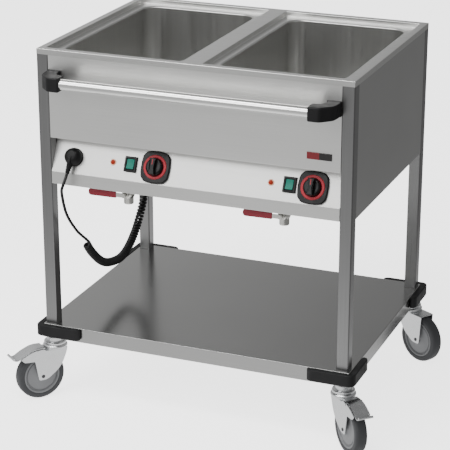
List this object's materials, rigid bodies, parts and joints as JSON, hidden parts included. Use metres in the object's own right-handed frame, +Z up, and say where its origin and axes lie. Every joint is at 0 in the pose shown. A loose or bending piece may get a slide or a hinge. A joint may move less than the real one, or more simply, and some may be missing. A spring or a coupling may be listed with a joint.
{
  "type": "mobile steam table",
  "caption": "Stainless steam table on swivel casters: heated wells side by side, thermostat knobs, rocker switches, drain valves, a lower shelf, a push bar and a parked curly lead.",
  "frame": {"origin": "on the floor, midway between the four legs", "axes": "+X to the operator's right along the control panel, +Y from the control panel to the back, +Z up"},
  "size_m": [0.9517, 0.777, 0.9],
  "materials": {
    "satin_steel": "satin brushed stainless",
    "badge_enamel": "gloss",
    "zinc_steel": "bright zinc plate",
    "black_rubber": "matt",
    "black_moulding": "fine grain",
    "knob_black": "satin",
    "nickel_valve": "nickel plated",
    "bright_bar": "polished",
    "heater_mat": "silicone",
    "lamp_amber": "glossy translucent",
    "rocker_green": "glossy translucent",
    "terminal_cream": "matt",
    "thermostat_zinc": "plain",
    "red_lever": "satin dip coat",
    "grey_wheel": "matt grey rubber"
  },
  "bodies": {
    "frame": {"back_panel": "satin_steel", "badge": "badge_enamel", "bottom_pan": "satin_steel", "bumper_front_left": "black_rubber", "bumper_front_right": "black_rubber", "bumper_rear_left": "black_rubber", "bumper_rear_right": "black_rubber", "cable_gland": "black_moulding", "caster_stem_front_left": "zinc_steel", "caster_stem_front_right": "zinc_steel", "caster_stem_rear_left": "zinc_steel", "caster_stem_rear_right": "zinc_steel", "control_panel": "satin_steel", "cord_curl": "black_rubber", "cord_tail": "black_rubber", "deck": "satin_steel", "dial_plate_left": "knob_black", "dial_plate_right": "knob_black", "drain_valve_left": "nickel_valve", "drain_valve_right": "nickel_valve", "front_panel": "satin_steel", "handle_bar": "bright_bar", "handle_bracket_left": "black_moulding", "handle_bracket_right": "black_moulding", "heater_left": "heater_mat", "heater_right": "heater_mat", "leg_front_left": "satin_steel", "leg_front_right": "satin_steel", "leg_rear_left": "satin_steel", "leg_rear_right": "satin_steel", "parking_socket": "black_moulding", "pilot_lamp_left": "lamp_amber", "pilot_lamp_right": "lamp_amber", "plug": "black_rubber", "shelf": "satin_steel", "side_panel_left": "satin_steel", "side_panel_right": "satin_steel", "switch_housing_left": "black_moulding", "switch_housing_right": "black_moulding", "terminal_block": "terminal_cream", "thermostat_left": "thermostat_zinc", "thermostat_right": "thermostat_zinc", "well_left": "satin_steel", "well_right": "satin_steel"},
    "caster_front_left": {"fork_front_left": "zinc_steel"},
    "wheel_front_left": {"wheel_front_left": "grey_wheel"},
    "brake_front_left": {"brake_pedal_front_left": "zinc_steel"},
    "caster_front_right": {"fork_front_right": "zinc_steel"},
    "wheel_front_right": {"wheel_front_right": "grey_wheel"},
    "brake_front_right": {"brake_pedal_front_right": "zinc_steel"},
    "caster_rear_left": {"fork_rear_left": "zinc_steel"},
    "wheel_rear_left": {"wheel_rear_left": "grey_wheel"},
    "caster_rear_right": {"fork_rear_right": "zinc_steel"},
    "wheel_rear_right": {"wheel_rear_right": "grey_wheel"},
    "knob_left": {"knob_left": "knob_black"},
    "rocker_left": {"rocker_left": "rocker_green"},
    "valve_lever_left": {"valve_lever_left": "red_lever"},
    "knob_right": {"knob_right": "knob_black"},
    "rocker_right": {"rocker_right": "rocker_green"},
    "valve_lever_right": {"valve_lever_right": "red_lever"}
  },
  "joints": [
    {"name": "swivel_front_left", "type": "hinge", "parent": "frame", "child": "caster_front_left", "pos_m": [-0.381, -0.281, 0.1403], "axis": [0, 0, 1], "continuous": true},
    {"name": "roll_front_left", "type": "hinge", "parent": "caster_front_left", "child": "wheel_front_left", "pos_m": [-0.40863, -0.31652, 0.0625], "axis": [0.7893, -0.614, 0], "continuous": true},
    {"name": "brake_front_left", "type": "hinge", "parent": "caster_front_left", "child": "brake_front_left", "pos_m": [-0.41416, -0.32362, 0.1315], "axis": [0.7893, -0.614, 0], "range_deg": [0, 12]},
    {"name": "swivel_front_right", "type": "hinge", "parent": "frame", "child": "caster_front_right", "pos_m": [0.381, -0.281, 0.1403], "axis": [0, 0, 1], "continuous": true},
    {"name": "roll_front_right", "type": "hinge", "parent": "caster_front_right", "child": "wheel_front_right", "pos_m": [0.41209, -0.31353, 0.0625], "axis": [0.7229, 0.6909, 0], "continuous": true},
    {"name": "brake_front_right", "type": "hinge", "parent": "caster_front_right", "child": "brake_front_right", "pos_m": [0.41831, -0.32004, 0.1315], "axis": [0.7229, 0.6909, 0], "range_deg": [0, 12]},
    {"name": "swivel_rear_left", "type": "hinge", "parent": "frame", "child": "caster_rear_left", "pos_m": [-0.381, 0.281, 0.1403], "axis": [0, 0, 1], "continuous": true},
    {"name": "roll_rear_left", "type": "hinge", "parent": "caster_rear_left", "child": "wheel_rear_left", "pos_m": [-0.3945, 0.32393, 0.0625], "axis": [-0.9539, -0.3, 0], "continuous": true},
    {"name": "swivel_rear_right", "type": "hinge", "parent": "frame", "child": "caster_rear_right", "pos_m": [0.381, 0.281, 0.1403], "axis": [0, 0, 1], "continuous": true},
    {"name": "roll_rear_right", "type": "hinge", "parent": "caster_rear_right", "child": "wheel_rear_right", "pos_m": [0.42002, 0.25858, 0.0625], "axis": [0.4983, 0.867, 0], "continuous": true},
    {"name": "thermostat_knob_left", "type": "hinge", "parent": "frame", "child": "knob_left", "pos_m": [-0.09725, -0.27843, 0.63428], "axis": [0, 0.9093, -0.4162], "range_deg": [0, 300]},
    {"name": "rocker_switch_left", "type": "hinge", "parent": "frame", "child": "rocker_left", "pos_m": [-0.16225, -0.27753, 0.63386], "axis": [1, 0, 0], "range_deg": [0, 12]},
    {"name": "drain_lever_left", "type": "hinge", "parent": "frame", "child": "valve_lever_left", "pos_m": [-0.19175, -0.232, 0.546], "axis": [0, -1, 0], "range_deg": [0, 90]},
    {"name": "thermostat_knob_right", "type": "hinge", "parent": "frame", "child": "knob_right", "pos_m": [0.29645, -0.27843, 0.63428], "axis": [0, 0.9093, -0.4162], "range_deg": [0, 300]},
    {"name": "rocker_switch_right", "type": "hinge", "parent": "frame", "child": "rocker_right", "pos_m": [0.23925, -0.27753, 0.63386], "axis": [1, 0, 0], "range_deg": [0, 12]},
    {"name": "drain_lever_right", "type": "hinge", "parent": "frame", "child": "valve_lever_right", "pos_m": [0.20975, -0.232, 0.546], "axis": [0, -1, 0], "range_deg": [0, 90]}
  ]
}
